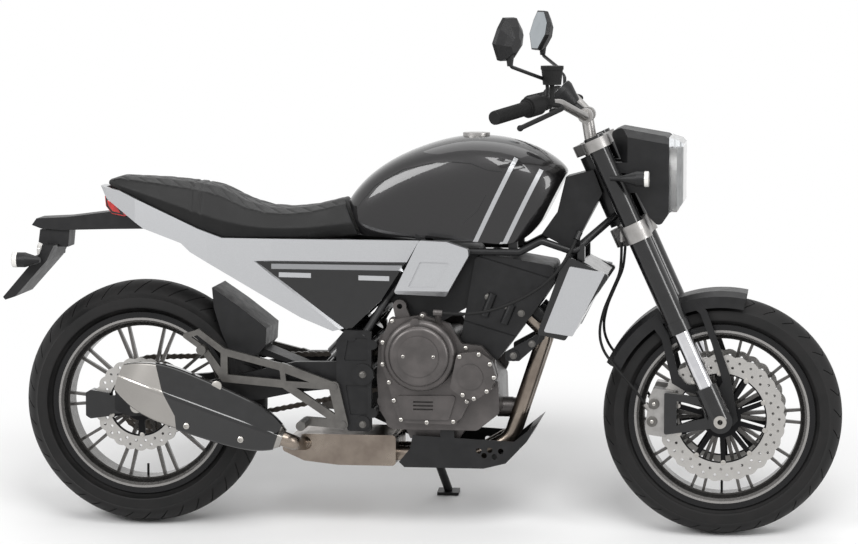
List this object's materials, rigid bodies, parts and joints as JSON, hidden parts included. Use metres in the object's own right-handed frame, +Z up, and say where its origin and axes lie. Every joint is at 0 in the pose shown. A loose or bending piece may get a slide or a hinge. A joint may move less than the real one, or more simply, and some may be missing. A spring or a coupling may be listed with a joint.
{
  "type": "cafe racer motorcycle",
  "caption": "Cafe racer motorcycle leaning on its side stand, with a long fuel tank, quilted bench seat, angular headlight and low side exhaust.",
  "frame": {"origin": "ground level, under the middle of the bounding box of the leaning machine", "axes": "+X towards the front of the machine, +Y towards the rider's left, the side it leans to, +Z up"},
  "size_m": [2.128, 0.8924, 1.3603],
  "materials": {
    "black_frame": "satin black powder coat",
    "tank_paint": "gloss black lacquer with two silver stripes",
    "alloy": "satin grey cast alloy",
    "vinyl": "black stitched vinyl over foam",
    "silver_paint": "satin silver paint",
    "plastic": "grained black plastic",
    "red_lens": "red lamp lens",
    "engine_case": "dark grey engine paint, slightly rough",
    "engine_black": "satin black engine paint",
    "black_alloy": "black anodised alloy",
    "steel": "brushed stainless steel",
    "chain_steel": "oiled chain steel",
    "pipe_steel": "heat tinted stainless steel",
    "rubber": "matt black rubber",
    "chrome": "bright plated steel",
    "lamp_black": "gloss black lamp bowl",
    "lens": "clear lamp lens",
    "tyre": "matt black tyre rubber"
  },
  "bodies": {
    "chassis": {"frame": "black_frame", "fuel_tank": "tank_paint", "filler_cap": "alloy", "seat": "vinyl", "side_panels": "silver_paint", "side_covers": "plastic", "tail_lamp": "red_lens", "engine_crankcase": "engine_case", "engine_cylinders": "engine_black", "engine_covers": "engine_case", "airbox": "plastic", "radiator": "black_alloy", "radiator_shrouds": "silver_paint", "swingarm": "black_frame", "rear_axle": "steel", "chain": "chain_steel", "rear_shock": "black_alloy", "rear_hugger": "plastic", "rear_caliper": "black_alloy", "muffler": "steel", "muffler_shield": "black_alloy", "exhaust_pipes": "pipe_steel", "belly_pan": "plastic", "footrests": "alloy", "rear_fender_arm": "plastic", "clutch_cable": "rubber"},
    "front_end": {"triple_clamps": "alloy", "fork_outer_tubes": "black_alloy", "fork_inner_tubes": "chrome", "fork_bottoms": "black_alloy", "front_axle": "steel", "front_calipers": "alloy", "front_fender": "plastic", "handlebar": "alloy", "hand_controls": "rubber", "mirrors": "plastic", "headlight_shell": "lamp_black", "headlight_lens": "lens", "front_indicators": "plastic", "instrument": "plastic", "brake_hoses": "rubber"},
    "front_wheel": {"front_tyre": "tyre", "front_rim": "black_alloy", "front_discs": "steel"},
    "rear_wheel": {"rear_tyre": "tyre", "rear_rim": "black_alloy", "rear_disc": "steel", "rear_sprocket": "chain_steel"},
    "side_stand": {"side_stand": "black_frame"}
  },
  "joints": [
    {"name": "steering", "type": "hinge", "parent": "chassis", "child": "front_end", "pos_m": [0.41559, -0.04415, 0.97131], "axis": [-0.4147, 0.158, 0.8961], "range_deg": [-30, 30]},
    {"name": "front_wheel_spin", "type": "hinge", "parent": "front_end", "child": "front_wheel", "pos_m": [0.76499, -0.16305, 0.29702], "axis": [0, 0.9848, -0.1736], "continuous": true},
    {"name": "rear_wheel_spin", "type": "hinge", "parent": "chassis", "child": "rear_wheel", "pos_m": [-0.70901, -0.16102, 0.30854], "axis": [0, 0.9848, -0.1736], "continuous": true},
    {"name": "side_stand_fold", "type": "hinge", "parent": "chassis", "child": "side_stand", "pos_m": [-0.01201, -0.01433, 0.20753], "axis": [-0.0168, 0.9678, 0.2513], "range_deg": [0, 101.5]}
  ]
}
